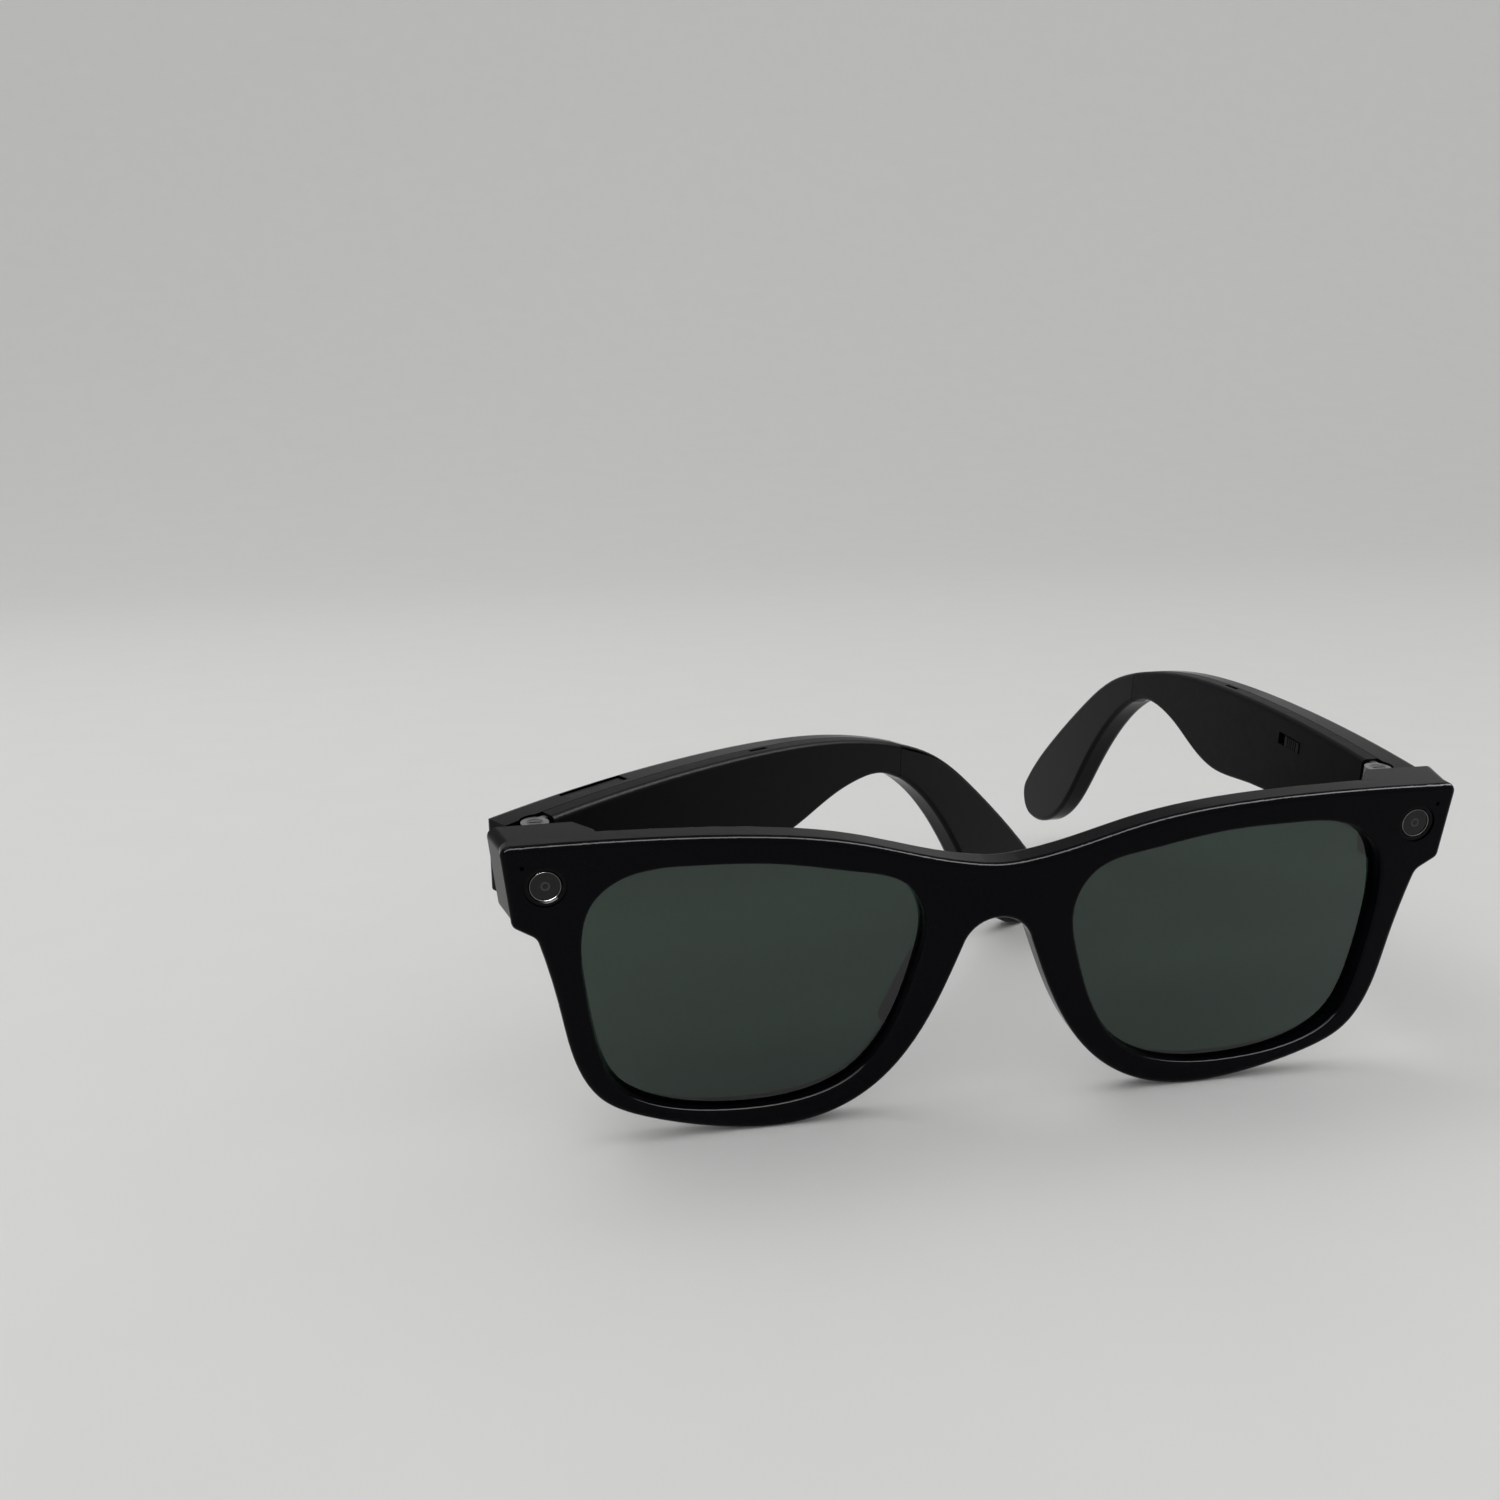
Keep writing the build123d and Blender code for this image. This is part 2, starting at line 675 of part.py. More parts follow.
for name, side in SIDES:
    with BuildPart() as front_leaf:
        with BuildSketch(FRONT.offset(-end_piece_depth)):
            with Locations((side * eye_x, eye_h)):
                Rectangle(front_leaf_width - 2 * fit_gap, front_leaf_height - 2 * fit_gap)
        extrude(amount=leaf_thickness)
        with BuildSketch(PLAN.offset(knuckle_low)):
            with Locations((side * hinge_x, (end_piece_depth + hinge_depth) / 2 - 0.2)):
                Rectangle(2 * arm_half_width, hinge_depth - end_piece_depth + 0.4)
            with Locations((side * hinge_x, hinge_depth)):
                Circle(barrel_radius)
        extrude(amount=front_knuckle)
        with BuildSketch(PLAN.offset(knuckle_low - 1)):
            with Locations((side * hinge_x, hinge_depth)):
                Circle(screw_radius + pin_clearance)
        extrude(amount=front_knuckle + 2, mode=Mode.SUBTRACT)
        add(
            leaf_holes(FRONT.offset(-end_piece_depth), [(side * x, h) for x, h in front_screws], 1),
            mode=Mode.SUBTRACT,
        )
    front_leaf.part.label = f"front_leaf_{name}"
    export_step(front_leaf.part, f"parts/front_leaf_{name}.step")

    with BuildPart() as front_leaf_screws:
        add(leaf_screws(FRONT.offset(-end_piece_depth), [(side * x, h) for x, h in front_screws], 1))
    front_leaf_screws.part.label = f"front_leaf_screws_{name}"
    export_step(front_leaf_screws.part, f"parts/front_leaf_screws_{name}.step")

    with BuildPart() as hinge_screw:
        with BuildSketch(PLAN.offset(barrel_bottom + 0.3)):
            with Locations((side * hinge_x, hinge_depth)):
                Circle(screw_radius)
        extrude(amount=barrel_top - barrel_bottom - 0.35)
        with BuildSketch(PLAN.offset(barrel_top - 0.55)):
            with Locations((side * hinge_x, hinge_depth)):
                Circle(screw_head_radius)
        extrude(amount=0.5)
        with BuildSketch(PLAN.offset(barrel_top - 0.25)):
            with Locations((side * hinge_x, hinge_depth)):
                Rectangle(1.7, 0.3)
        extrude(amount=1, mode=Mode.SUBTRACT)
    hinge_screw.part.label = f"hinge_screw_{name}"
    export_step(hinge_screw.part, f"parts/hinge_screw_{name}.step")

    profile, above = TEMPLE[side]
    spots = [(s, leaf_h) for s in temple_screw_s]
    leaf_face = profile.offset(side * leaf_n)
    with BuildPart() as temple_leaf:
        with BuildSketch(leaf_face):
            with Locations(((notch_radius + temple_leaf_end) / 2, leaf_h)):
                Rectangle(temple_leaf_end - notch_radius, leaf_height)
        extrude(amount=side * leaf_thickness)
        for low, high in temple_knuckles:
            with BuildSketch(above.offset(low)):
                Circle(barrel_radius)
                with Locations((1.3, -side * (leaf_n + leaf_thickness / 2))):
                    Rectangle(2.6, leaf_thickness)
            extrude(amount=high - low)
        with BuildSketch(above.offset(barrel_bottom - 1)):
            Circle(screw_radius + pin_clearance)
        extrude(amount=barrel_top - barrel_bottom + 2, mode=Mode.SUBTRACT)
        with BuildSketch(above.offset(barrel_top - 0.6)):
            Circle(screw_head_radius + pin_clearance)
        extrude(amount=1, mode=Mode.SUBTRACT)
        add(leaf_holes(leaf_face, spots, side), mode=Mode.SUBTRACT)
    temple_leaf.part.label = f"temple_leaf_{name}"
    export_step(temple_leaf.part, f"parts/temple_leaf_{name}.step")

    with BuildPart() as temple_leaf_screws:
        add(leaf_screws(leaf_face, spots, side))
    temple_leaf_screws.part.label = f"temple_leaf_screws_{name}"
    export_step(temple_leaf_screws.part, f"parts/temple_leaf_screws_{name}.step")

# ---------------------------------------------------------------- temple shells and covers
for name, side in SIDES:
    profile, above = TEMPLE[side]
    whole = temple_body(side)
    room = temple_room(side)
    seam = temple_box(side, (butt_s - 1, cover_end), (-60, 60), (inner_n - 1, seam_n))

    with BuildPart() as shell:
        add(whole)
        add(seam, mode=Mode.SUBTRACT)
        add(room, mode=Mode.SUBTRACT)
        # Bosses for the hinge leaf
        with BuildSketch(profile.offset(side * (leaf_n + leaf_thickness + fit_gap))):
            with Locations(*[(s, leaf_h) for s in temple_screw_s]):
                Circle(1.3)
        extrude(amount=side * (inner_n + temple_thickness - wall / 2 - leaf_n - leaf_thickness))
        with BuildSketch(profile.offset(side * leaf_n)):
            with Locations(*[(s, leaf_h) for s in temple_screw_s]):
                Circle(leaf_screw_radius)
        extrude(amount=side * (leaf_screw_length + fit_gap), mode=Mode.SUBTRACT)
        # Room for the hinge barrel
        with BuildSketch(above.offset(barrel_bottom - 1)):
            Circle(notch_radius)
        extrude(amount=20, mode=Mode.SUBTRACT)
        # Sound slot under the pod
        add(
            temple_box(side, speaker_slot, (0, pod_bottom + wall + 2), (2.2, 3.4)),
            mode=Mode.SUBTRACT,
        )
        if side < 0:
            add(
                temple_box(
                    side,
                    button_slot,
                    (temple_top - 2.4, temple_top + 1),
                    (button_n - button_width / 2, button_n + button_width / 2),
                ),
                mode=Mode.SUBTRACT,
            )
    shell.part.label = f"temple_shell_{name}"
    export_step(shell.part, f"parts/temple_shell_{name}.step")

    with BuildPart() as cover:
        add(whole)
        add(
            temple_box(
                side,
                (cover_start, cover_end - seam_gap),
                (-60, 60),
                (inner_n - 1, seam_n - seam_gap),
            ),
            mode=Mode.INTERSECT,
        )
        add(room, mode=Mode.SUBTRACT)
        # The hinge leaf passes through the front wall
        add(
            temple_box(
                side,
                (cover_start - 1, room_start + 0.1),
                (leaf_h - leaf_height / 2 - 0.1, leaf_h + leaf_height / 2 + 0.1),
                (leaf_n - 0.05, seam_n + 1),
            ),
            mode=Mode.SUBTRACT,
        )
        add(
            temple_box(side, vent_slot, (temple_top - 4, temple_top + 2), (0.5, 1.3)),
            mode=Mode.SUBTRACT,
        )
        if side > 0:
            add(
                temple_box(
                    side,
                    (switch_middle - switch_slot / 2 - 0.1, switch_middle + switch_slot / 2 + 0.1),
                    (switch_h - switch_width / 2 - 0.1, switch_h + switch_width / 2 + 0.1),
                    (inner_n - 1, inner_n + wall + 0.5),
                ),
                mode=Mode.SUBTRACT,
            )
    cover.part.label = f"temple_cover_{name}"
    export_step(cover.part, f"parts/temple_cover_{name}.step")

    # Speaker, its mesh and the microphone mesh
    for label, s_range, h_range, n_range, round_off in (
        ("speaker", (51.0, 64.0), (12.0, 17.8), (room_n + 0.5, skin_n(64.0) - 0.12), 1.2),
        ("speaker_mesh", (43.6, 51.6), (mesh_h, mesh_h + 0.25), (2.0, skin_n(51.6) - 0.1), 0),
        ("microphone_mesh", (43.6, 48.4), (roof_h + 0.25, roof_h + 0.45), (0.3, 1.5), 0),
    ):
        with BuildPart() as piece:
            add(temple_box(side, s_range, h_range, n_range))
            if round_off:
                fillet(piece.edges().filter_by(Axis((0, 0, 0), profile.z_dir)), round_off)
        piece.part.label = f"{label}_{name}"
        export_step(piece.part, f"parts/{label}_{name}.step")

# ---------------------------------------------------------------- inside the right temple
touch_n = skin_n(50.0) - 0.3
for label, s_range, h_range, n_range in (
    ("main_board", (22.0, 49.0), (pod_bottom + 5.4, roof_h), (board_n, board_n + 0.7)),
    ("shield_can", (27.0, 44.0), (pod_bottom + 6.4, roof_h - 0.8), (board_n + 0.7, touch_n - 0.05)),
    ("button_switch", (12.0, 16.0), (key_h - 0.45, key_h), (2.4, skin_n(16.0) - 0.08)),
    ("button_bracket", (6.6, 21.4), (key_h - 1.05, key_h - 0.45), (2.4, skin_n(21.4) - 0.08)),
    ("touch_strip", (22.0, 50.0), (pod_bottom + 5.8, roof_h - 0.6), (touch_n, touch_n + 0.22)),
):
    with BuildPart() as piece:
        add(temple_box(-1, s_range, h_range, n_range))
    piece.part.label = label
    export_step(piece.part, f"parts/{label}.step")

with BuildPart() as capture_button:
    add(
        temple_box(
            -1,
            (button_slot[0] + 0.12, button_slot[1] - 0.12),
            (temple_top - 1.7, temple_top - 0.25),
            (button_n - button_width / 2 + 0.12, button_n + button_width / 2 - 0.12),
        )
    )
    up = Axis((0, 0, 0), TEMPLE[-1][0].y_dir)
    fillet(capture_button.edges().filter_by(up), 0.7)
    fillet(capture_button.faces().sort_by(up)[-1].edges(), 0.25)
    add(
        temple_box(
            -1,
            (button_slot[0] - 0.4, button_slot[1] + 0.4),
            (temple_top - 2.0, temple_top - 1.6),
            (button_n - button_width / 2 - 0.35, skin_n(button_slot[1] + 0.4) - 0.08),
        )
    )
    add(
        temple_box(
            -1,
            (button_s - 0.8, button_s + 0.8),
            (key_h + button_travel + 0.03, temple_top - 1.9),
            (button_n - 0.7, skin_n(button_s) - 0.2),
        )
    )
capture_button.part.label = "capture_button"
export_step(capture_button.part, "parts/capture_button.step")

# ---------------------------------------------------------------- inside the left temple
for label, s_range, h_range, n_range in (
    ("battery", (30.0, 49.5), (pod_bottom + 3.7, roof_h), (room_n + 0.4, skin_n(49.5) - 0.1)),
    ("power_board", (15.0, 28.0), (leaf_h - 5.2, leaf_h - 0.5), (board_n - 0.1, board_n + 0.6)),
    ("switch_body", (19.0, 27.0), (switch_h - 1.6, switch_h + 1.6), (room_n + 0.75, room_n + 2.2)),
):
    with BuildPart() as piece:
        add(temple_box(1, s_range, h_range, n_range))
    piece.part.label = label
    export_step(piece.part, f"parts/{label}.step")

with BuildPart() as power_switch:
    add(
        temple_box(
            1,
            (switch_s - switch_length / 2, switch_s + switch_length / 2),
            (switch_h - switch_width / 2, switch_h + switch_width / 2),
            (inner_n - 0.15, inner_n + wall + 0.1),
        )
    )
    for rib in range(5):
        rib_s = switch_s - 1.2 + rib * 0.6
        add(
            temple_box(
                1,
                (rib_s - 0.12, rib_s + 0.12),
                (switch_h - 1.2, switch_h + 1.2),
                (inner_n - 0.5, inner_n),
            ),
            mode=Mode.SUBTRACT,
        )
    add(
        temple_box(
            1,
            (switch_s - 2.8, switch_s + 2.8),
            (switch_h - 1.35, switch_h + 1.35),
            (inner_n + wall + 0.05, inner_n + wall + 0.6),
        )
    )
power_switch.part.label = "power_switch"
export_step(power_switch.part, "parts/power_switch.step")
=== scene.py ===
"""Looks and fine details of a pair of smart glasses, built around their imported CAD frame."""

import json
import math

import bmesh
import bpy
from bpy.props import FloatProperty, FloatVectorProperty, PointerProperty
from mathutils import Matrix, Vector


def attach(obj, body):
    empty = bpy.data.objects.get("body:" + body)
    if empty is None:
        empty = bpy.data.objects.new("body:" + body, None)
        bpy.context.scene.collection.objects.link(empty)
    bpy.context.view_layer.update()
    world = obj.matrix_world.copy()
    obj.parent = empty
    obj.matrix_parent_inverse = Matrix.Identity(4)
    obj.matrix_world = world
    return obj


bl_info = {
    "name": "Smart Glasses",
    "version": (1, 0, 0),
    "blender": (4, 5, 0),
    "location": "View3D > Sidebar > Glasses",
    "description": "Finishes and fine details of a pair of smart glasses",
    "category": "Object",
}

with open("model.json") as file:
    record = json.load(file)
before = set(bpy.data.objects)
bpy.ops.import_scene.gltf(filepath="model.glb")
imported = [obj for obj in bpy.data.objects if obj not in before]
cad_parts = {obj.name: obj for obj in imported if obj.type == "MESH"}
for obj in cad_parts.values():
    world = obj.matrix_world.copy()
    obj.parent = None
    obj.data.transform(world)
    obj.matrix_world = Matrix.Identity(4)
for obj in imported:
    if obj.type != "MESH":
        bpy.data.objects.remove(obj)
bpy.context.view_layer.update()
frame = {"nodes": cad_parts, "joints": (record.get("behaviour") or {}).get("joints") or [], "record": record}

# ---------------------------------------------------------------- the glasses' own frame
# Places on the front are (x, depth, h) in millimetres from the middle of the two lenses
# at the front face. Places on a temple are (s, h, n): s back from the hinge axis, h up
# from the lens centre line, n outwards from the hinge axis.
MM = 0.001
LEFT, RIGHT = 1, -1
HINGE_DEPTH = 12.0
HINGE_H = 17.85
EYE_X = 65.0
EYE_H = 17.9
PINHOLE_X = 68.0
PINHOLE_H = 20.9

JOINTS = {joint["name"]: joint for joint in frame["joints"]}
HINGES = {
    LEFT: Vector(JOINTS["temple_left_fold"]["pos_m"]),
    RIGHT: Vector(JOINTS["temple_right_fold"]["pos_m"]),
}
FOLDS = {
    LEFT: -JOINTS["temple_left_fold"]["range_deg"][0],
    RIGHT: -JOINTS["temple_right_fold"]["range_deg"][0],
}
ACROSS = Vector((1, 0, 0))
UP = Vector(JOINTS["temple_left_fold"]["axis"]).normalized()
BACK = UP.cross(ACROSS)
CENTRE = (HINGES[LEFT] + HINGES[RIGHT]) / 2 - (BACK * HINGE_DEPTH + UP * HINGE_H) * MM


def front_place(x, depth, h):
    """A place on the front, in the frame of the table, in metres."""
    return CENTRE + (ACROSS * x + BACK * depth + UP * h) * MM


def temple_axes(side):
    """The directions back along a temple and outwards from it."""
    fold = math.radians(FOLDS[side])
    along = BACK * math.cos(fold) - ACROSS * side * math.sin(fold)
    out = ACROSS * side * math.cos(fold) + BACK * math.sin(fold)
    return along, out


def temple_place(side, s, h, n):
    """A place on a temple, in the frame of the table, in metres."""
    along, out = temple_axes(side)
    return HINGES[side] + (along * s + UP * (h - HINGE_H) + out * n) * MM


# ---------------------------------------------------------------- mesh helpers
SHARP_ANGLE = math.radians(32)
AXIS_GAP = 0.0001  # the radius that closes a turned piece on its axis, in millimetres


def finish_mesh(name, shape, body, slot, material=None):
    """An object from a bmesh, smooth but for its sharp edges, riding on a body."""
    for face in shape.faces:
        face.smooth = True
    for edge in shape.edges:
        edge.smooth = len(edge.link_faces) != 2 or edge.calc_face_angle(0.0) < SHARP_ANGLE
    mesh = bpy.data.meshes.new(name)
    shape.to_mesh(mesh)
    shape.free()
    piece = bpy.data.objects.new(name, mesh)
    bpy.context.scene.collection.objects.link(piece)
    mesh.materials.append(material or finish_for(slot))
    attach(piece, body)
    return piece


def add_lathe(shape, profile, centre, axis, segments=48):
    """Turns a closed profile of (radius, height) millimetres about an axis."""
    axis = axis.normalized()
    across = axis.orthogonal().normalized()
    rings = []
    for step in range(segments):
        turn = Matrix.Rotation(2 * math.pi * step / segments, 3, axis)
        ring = []
        for radius, height in profile:
            spot = centre + (turn @ across * radius + axis * height) * MM
            ring.append(shape.verts.new(spot))
        rings.append(ring)
    count = len(profile)
    for step in range(segments):
        near, far = rings[step], rings[(step + 1) % segments]
        for spot in range(count):
            after = (spot + 1) % count
            shape.faces.new((near[spot], far[spot], far[after], near[after]))
    bmesh.ops.remove_doubles(shape, verts=shape.verts, dist=1e-7)
    bmesh.ops.recalc_face_normals(shape, faces=shape.faces)


def arc(start, end, steps):
    """Angles in radians from start to end degrees."""
    return [math.radians(start + (end - start) * step / steps) for step in range(steps + 1)]


def add_block(shape, centre, axes, size, bevel=0.0, steps=2):
    """A block with rounded edges, with its size in millimetres along three directions."""
    made = bmesh.ops.create_cube(shape, size=1.0)
    verts = made["verts"]
    for vert in verts:
        spot = [part * reach * MM for part, reach in zip(vert.co, size)]
        vert.co = centre + sum((axis * reach for axis, reach in zip(axes, spot)), Vector())
    if bevel:
        edges = list({edge for vert in verts for edge in vert.link_edges})
        bmesh.ops.bevel(
            shape, geom=edges, offset=bevel * MM, segments=steps, profile=0.5, affect="EDGES"
        )


# ---------------------------------------------------------------- material helpers
class Finish:
    """A material's node tree with its Principled shader."""

    def __init__(self, name, colour, roughness, metallic=0.0):
        self.material = bpy.data.materials.new(name)
        self.material.use_nodes = True
        self.tree = self.material.node_tree
        self.shader = self.tree.nodes["Principled BSDF"]
        self.set("Base Color", (*colour, 1.0))
        self.set("Roughness", roughness)
        self.set("Metallic", metallic)
        self.coordinates = self.node("ShaderNodeTexCoord").outputs["Object"]

    def node(self, kind, **values):
        """A node with values for its inputs and its own settings."""
        made = self.tree.nodes.new(kind)
        for key, value in values.items():
            if key in made.inputs:
                made.inputs[key].default_value = value
            else:
                setattr(made, key, value)
        return made

    def link(self, start, end):
        self.tree.links.new(start, end)

    def set(self, socket, value):
        self.shader.inputs[socket].default_value = value

    def stretched(self, scale):
        """Object coordinates stretched by a scale on each axis."""
        mapping = self.node("ShaderNodeMapping", Scale=scale)
        self.link(self.coordinates, mapping.inputs["Vector"])
        return mapping.outputs["Vector"]

    def noise(self, scale, detail=2.0, roughness=0.5, stretch=(1, 1, 1)):
        texture = self.node(
            "ShaderNodeTexNoise", Scale=scale, Detail=detail, Roughness=roughness
        )
        self.link(self.stretched(stretch), texture.inputs["Vector"])
        return texture.outputs["Fac"]

    def ramp(self, factor, stops):
        """A factor turned into a colour by stops of (place, colour)."""
        ramp = self.node("ShaderNodeValToRGB")
        points = ramp.color_ramp.elements
        while len(points) < len(stops):
            points.new(0.5)
        for point, (place, colour) in zip(points, stops):
            point.position = place
            point.color = (*colour, 1.0)
        self.link(factor, ramp.inputs["Fac"])
        return ramp.outputs["Color"]

    def spread(self, factor, low, high):
        """A factor of 0 to 1 spread from low to high."""
        made = self.node("ShaderNodeMapRange")
        made.inputs["To Min"].default_value = low
        made.inputs["To Max"].default_value = high
        self.link(factor, made.inputs["Value"])
        return made.outputs["Result"]

    def vary(self, socket, factor, low, high):
        """Lets a socket vary with a factor."""
        self.link(self.spread(factor, low, high), self.shader.inputs[socket])

    def tint(self, factor, stops):
        """Lets the base colour vary with a factor."""
        self.link(self.ramp(factor, stops), self.shader.inputs["Base Color"])

    def bump(self, factor, strength, distance):
        """Raises the surface by a factor, with its height in metres."""
        made = self.node("ShaderNodeBump", Strength=strength, Distance=distance)
        self.link(factor, made.inputs["Height"])
        previous = self.shader.inputs["Normal"]
        if previous.links:
            self.link(previous.links[0].from_socket, made.inputs["Normal"])
        self.link(made.outputs["Normal"], previous)


def grey(level, blue=1.0):
    return (level, level, level * blue)


# ---------------------------------------------------------------- finishes
def polished_black():
    """Polished black plastic: even gloss, a faint waviness and a little dust."""
    look = bpy.context.scene.glasses_finish
    finish = Finish("polished_black", look.frame_colour, look.frame_roughness)
    finish.set("Specular IOR Level", look.frame_gloss)
    rough = look.frame_roughness
    finish.vary("Roughness", finish.noise(260.0, 4.0), rough * 0.7, rough * 1.6)
    dust = finish.noise(2600.0, 1.0)
    finish.tint(dust, ((0.72, look.frame_colour), (0.86, grey(0.006))))
    finish.bump(finish.noise(90.0, 2.0), 0.05, 0.0002)
    return finish.material


def satin_black():
    """Satin moulded plastic with a fine even texture."""
    look = bpy.context.scene.glasses_finish
    finish = Finish("satin_black", look.cover_colour, look.cover_roughness)
    finish.set("Specular IOR Level", 0.06)
    rough = look.cover_roughness
    finish.vary("Roughness", finish.noise(700.0, 3.0), rough * 0.85, rough * 1.2)
    finish.bump(finish.noise(5200.0, 2.0), 0.12, 0.00003)
    finish.bump(finish.noise(60.0, 2.0), 0.04, 0.0002)
    return finish.material


def button_black():
    """Dark satin of the capture button and the power switch."""
    finish = Finish("button_black", grey(0.0014, 1.4), 0.3)
    finish.set("Specular IOR Level", 0.08)
    finish.vary("Roughness", finish.noise(2200.0, 3.0), 0.24, 0.36)
    finish.bump(finish.noise(5200.0, 2.0), 0.1, 0.00002)
    return finish.material


def tinted_lens():
    """Grey-green lens, with soft slanting streaks of painted light and shade laid into its tint."""
    look = bpy.context.scene.glasses_finish
    finish = Finish("tinted_lens", look.lens_colour, 0.02)
    finish.set("Transmission Weight", 1.0)
    finish.set("IOR", 1.5)
    finish.set("Specular IOR Level", look.lens_gloss)
    # Painted light and shade: slanting streaks make the lens's tint lighter and darker in bands.
    turn = (0.0, math.radians(-28.0), 0.0)
    slant = finish.node("ShaderNodeMapping", Rotation=turn, Scale=(14.0, 1.0, 95.0))
    finish.link(finish.coordinates, slant.inputs["Vector"])
    painted_streaks = finish.node("ShaderNodeTexNoise", Scale=1.0, Detail=1.0, Roughness=0.4)
    finish.link(slant.outputs["Vector"], painted_streaks.inputs["Vector"])
    # The lighter streaks are painted light and the darker streaks are painted shade.
    light = tuple(part * 1.13 for part in look.lens_colour)
    painted_shade_tint = tuple(part * 0.90 for part in look.lens_colour)
    finish.tint(painted_streaks.outputs["Fac"], ((0.32, painted_shade_tint), (0.68, light)))
    return finish.material


def dark_window():
    """Dark polished cover glass of the camera."""
    finish = Finish("dark_window", grey(0.0018, 1.2), 0.03)
    finish.set("Transmission Weight", 0.6)
    finish.set("Specular IOR Level", 0.02)
    finish.set("IOR", 1.5)
    finish.vary("Roughness", finish.noise(900.0), 0.02, 0.06)
    return finish.material


def smoked_diffuser():
    """Smoked, slightly frosted glass over the capture light."""
    finish = Finish("smoked_diffuser", grey(0.0022, 1.1), 0.10)
    finish.set("Transmission Weight", 0.6)
    finish.set("Specular IOR Level", 0.02)
    finish.set("IOR", 1.49)
    finish.bump(finish.noise(6000.0, 2.0), 0.1, 0.00003)
    return finish.material


def gloss_ring():
    """Black ring with a fine turned finish."""
    finish = Finish("gloss_ring", grey(0.0012), 0.14)
    finish.set("Specular IOR Level", 0.08)
    finish.vary("Roughness", finish.noise(2400.0, 3.0, 0.6, (1.0, 4.0, 1.0)), 0.10, 0.22)
    finish.bump(finish.noise(3200.0, 1.0), 0.06, 0.00002)
    return finish.material


def brushed(name, level, roughness, stretch):
    """Brushed metal with streaks in one direction."""
    finish = Finish(name, grey(level), roughness, 1.0)
    streaks = finish.noise(900.0, 6.0, 0.7, stretch)
    finish.vary("Roughness", streaks, roughness * 0.7, roughness * 1.4)
    finish.tint(streaks, ((0.25, grey(level * 0.82)), (0.8, grey(level * 1.08))))
    finish.bump(streaks, 0.15, 0.00002)
    return finish.material


def gold():
    """Gold plating with light contact marks."""
    finish = Finish("gold_plate", (0.86, 0.62, 0.26), 0.2, 1.0)
    marks = finish.noise(2600.0, 5.0)
    finish.vary("Roughness", marks, 0.12, 0.34)
    finish.tint(marks, ((0.2, (0.70, 0.47, 0.18)), (0.8, (0.92, 0.70, 0.33))))
    return finish.material


def circuit_board():
    """Green solder mask over faint copper traces."""
    finish = Finish("circuit_board", (0.012, 0.11, 0.05), 0.32)
    cells = finish.node("ShaderNodeTexVoronoi", Scale=620.0, feature="F1", distance="CHEBYCHEV")
    finish.link(finish.coordinates, cells.inputs["Vector"])
    traces = cells.outputs["Distance"]
    finish.tint(traces, ((0.35, (0.012, 0.10, 0.045)), (0.5, (0.03, 0.20, 0.09))))
    finish.bump(traces, 0.2, 0.00004)
    finish.set("Coat Weight", 0.4)
    finish.set("Coat Roughness", 0.15)
    return finish.material


def moulded_black():
    """Plain moulded black with a light spark texture."""
    finish = Finish("moulded_black", grey(0.018), 0.5)
    finish.vary("Roughness", finish.noise(1800.0, 3.0), 0.42, 0.62)
    finish.bump(finish.noise(3800.0, 2.0), 0.2, 0.00003)
    return finish.material


def foil_pouch():
    """Aluminium foil of a pouch cell, softly wrinkled, with painted shade in the wrinkles' hollows and
    painted highlight on their crests.
    """
    finish = Finish("foil_pouch", grey(0.62), 0.34, 1.0)
    wrinkles_and_painted_shade = finish.noise(240.0, 3.0, 0.5, (1.0, 1.0, 2.0))
    finish.vary("Roughness", finish.noise(1600.0, 3.0), 0.26, 0.44)
    # Painted shade and highlight: the foil is coloured darker where the wrinkles sink and lighter where they
    # rise.
    finish.tint(wrinkles_and_painted_shade, ((0.3, grey(0.5)), (0.75, grey(0.72))))
    finish.bump(wrinkles_and_painted_shade, 0.35, 0.0002)
    return finish.material


def polyimide():
    """Amber flex with copper traces along it."""
    finish = Finish("polyimide", (0.55, 0.26, 0.05), 0.3)
    lines = finish.node("ShaderNodeTexWave", Scale=620.0, wave_type="BANDS", bands_direction="Z")
    finish.link(finish.coordinates, lines.inputs["Vector"])
    finish.tint(lines.outputs["Fac"], ((0.35, (0.50, 0.22, 0.035)), (0.6, (0.72, 0.36, 0.12))))
    finish.bump(lines.outputs["Fac"], 0.2, 0.00003)
    finish.set("Coat Weight", 0.3)
    return finish.material


def woven_mesh():
    """Fine woven steel mesh, blackened."""
    finish = Finish("woven_mesh", grey(0.10), 0.4, 0.9)
    for direction in ("X", "Z"):
        wires = finish.node(
            "ShaderNodeTexWave", Scale=1400.0, wave_type="BANDS", bands_direction=direction
        )
        finish.link(finish.coordinates, wires.inputs["Vector"])
        finish.bump(wires.outputs["Fac"], 0.5, 0.00006)
    finish.tint(wires.outputs["Fac"], ((0.1, grey(0.015)), (0.7, grey(0.16))))
    return finish.material


def printed_grey():
    """Grey ring printed under the cover glass."""
    finish = Finish("printed_grey", grey(0.048, 1.05), 0.5)
    finish.set("Specular IOR Level", 0.1)
    finish.tint(finish.noise(3600.0, 2.0), ((0.3, grey(0.040)), (0.8, grey(0.058))))
    return finish.material


def clear_optic():
    """Coated glass of the camera's front element."""
    finish = Finish("clear_optic", (0.55, 0.62, 0.72), 0.02)
    finish.set("Transmission Weight", 0.8)
    finish.set("IOR", 1.6)
    finish.tint(finish.noise(700.0, 1.0), ((0.3, (0.40, 0.48, 0.70)), (0.8, (0.62, 0.58, 0.66))))
    return finish.material


